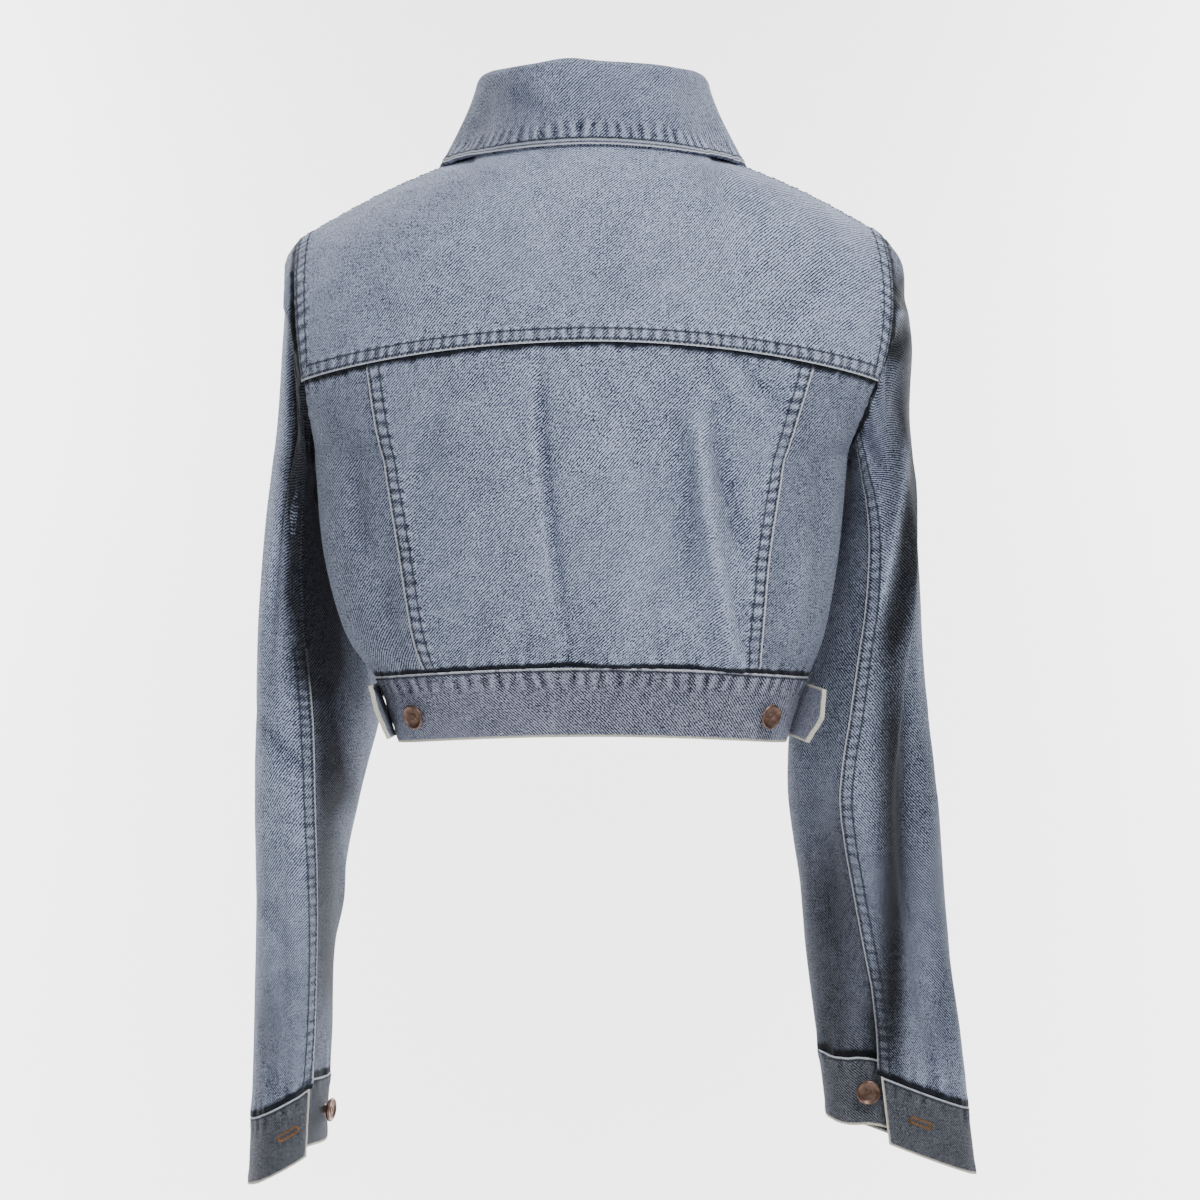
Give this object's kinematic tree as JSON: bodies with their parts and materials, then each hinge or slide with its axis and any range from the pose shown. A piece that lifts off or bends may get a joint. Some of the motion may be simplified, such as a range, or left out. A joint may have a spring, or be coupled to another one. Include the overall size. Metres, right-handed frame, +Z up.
{
  "type": "cropped denim jacket",
  "caption": "Cropped denim jacket with back yoke, fold-over collar, set-in sleeves, open cuffs, waistband, side tabs and shank buttons, in its hollow worn shape.",
  "frame": {"origin": "base of the neck, between the shoulders, where the wearer holds the jacket up", "axes": "+Z up along the wearer's spine, -Y toward the wearer's front, +X toward the wearer's left"},
  "size_m": [0.4957, 0.2505, 0.7401],
  "materials": {
    "denim": "washed pale blue cotton twill, mottled, matt",
    "denim_trim": "doubled cotton twill, a shade darker, worn pale along its edges",
    "copper_button": "antique copper face on a plain shank, satin"
  },
  "bodies": {
    "root": {"back_yoke": "denim", "back_centre": "denim", "back_side_left": "denim", "back_side_right": "denim", "front_left": "denim", "front_right": "denim", "front_band_under": "denim", "front_band_over": "denim", "sleeve_upper_top_left": "denim", "sleeve_upper_low_left": "denim", "sleeve_under_top_left": "denim", "sleeve_under_low_left": "denim", "sleeve_upper_top_right": "denim", "sleeve_upper_low_right": "denim", "sleeve_under_top_right": "denim", "sleeve_under_low_right": "denim", "collar": "denim_trim", "waistband": "denim_trim", "waist_tab_left": "denim_trim", "waist_tab_right": "denim_trim", "cuff_left": "denim_trim", "cuff_right": "denim_trim", "waist_button_left": "copper_button", "waist_button_right": "copper_button", "cuff_button_left": "copper_button", "cuff_button_right": "copper_button", "front_button_1": "copper_button", "front_button_2": "copper_button", "front_button_3": "copper_button", "front_button_4": "copper_button", "front_button_5": "copper_button", "waistband_button": "copper_button"}
  },
  "joints": []
}
